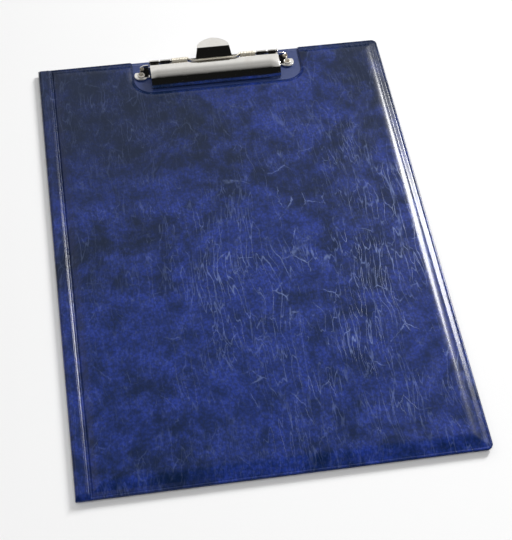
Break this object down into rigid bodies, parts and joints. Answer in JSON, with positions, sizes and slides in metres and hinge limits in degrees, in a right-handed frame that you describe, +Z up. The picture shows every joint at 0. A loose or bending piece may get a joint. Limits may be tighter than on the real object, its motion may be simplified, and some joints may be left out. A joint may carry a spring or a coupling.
{
  "type": "clipboard folder",
  "caption": "Fold-over clipboard: film-covered boards on a film spine, with a sprung lever clip that shows through a notch in the front cover.",
  "frame": {"origin": "centre of the rear cover's underside, on the face the closed folder lies on", "axes": "+X away from the spine, +Y towards the clip end, +Z up through the closed folder"},
  "size_m": [0.226, 0.321, 0.0167],
  "materials": {
    "outer_film": "dark blue marbled leather-look film, semi-gloss",
    "lining_film": "plain blue film, satin",
    "grey_board": "uncoated grey board",
    "nickel": "bright nickel plate on sheet steel",
    "spring_steel": "plated spring wire"
  },
  "bodies": {
    "rear_cover": {"rear_board": "grey_board", "rear_outer_film": "outer_film", "rear_inner_film": "lining_film", "clip_base_plate": "nickel", "hinge_pin": "nickel", "clip_spring": "spring_steel", "left_rivet": "nickel", "right_rivet": "nickel"},
    "spine": {"spine_outer_film": "outer_film", "spine_inner_film": "lining_film"},
    "front_cover": {"front_board": "grey_board", "front_outer_film": "outer_film", "front_inner_film": "lining_film"},
    "jaw": {"clip_jaw": "nickel"}
  },
  "joints": [
    {"name": "spine_fold", "type": "hinge", "parent": "rear_cover", "child": "spine", "pos_m": [-0.113, 0, 0.00265], "axis": [0, -1, 0], "range_deg": [0, 179.9]},
    {"name": "cover_fold", "type": "hinge", "parent": "spine", "child": "front_cover", "pos_m": [-0.1041, 0, 0.00545], "axis": [0, -1, 0], "range_deg": [0, 179.9]},
    {"name": "jaw_hinge", "type": "hinge", "parent": "rear_cover", "child": "jaw", "pos_m": [0.0021, 0.1508, 0.0094], "axis": [-1, 0, 0], "range_deg": [0, 55], "stiffness_Nm_per_rad": 0.05, "springref_deg": -57.3, "deforming": ["clip_spring"]}
  ]
}
